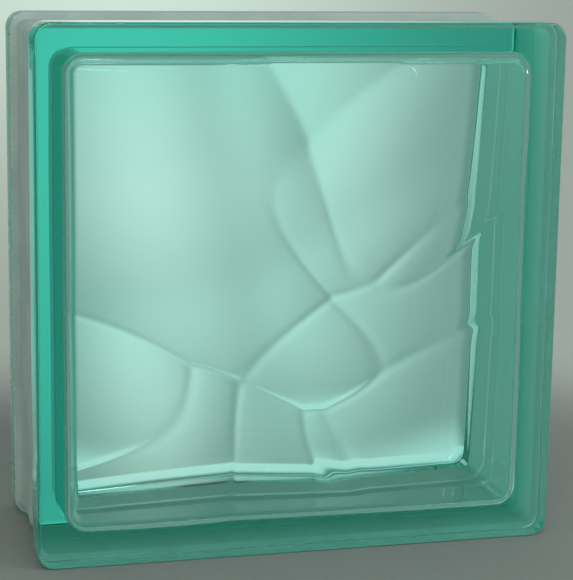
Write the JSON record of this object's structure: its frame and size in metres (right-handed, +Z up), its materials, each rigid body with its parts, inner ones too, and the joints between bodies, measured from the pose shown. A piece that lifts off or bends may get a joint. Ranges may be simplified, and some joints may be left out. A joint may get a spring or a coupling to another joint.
{
  "type": "glass block",
  "caption": "Square hollow glass block in green glass with raised lips round a painted mortar channel and a soft wave relief inside both panes.",
  "frame": {"origin": "middle of the underside, on the floor that the block stands on", "axes": "+Z up, +X along the face, -Y out of the front face, +Y out of the rear face"},
  "size_m": [0.19, 0.08, 0.19],
  "materials": {
    "green_glass": "fire polished, coloured through, matte pale grey coat in the mortar channel"
  },
  "bodies": {
    "root": {"front_half": "green_glass", "rear_half": "green_glass"}
  },
  "joints": []
}
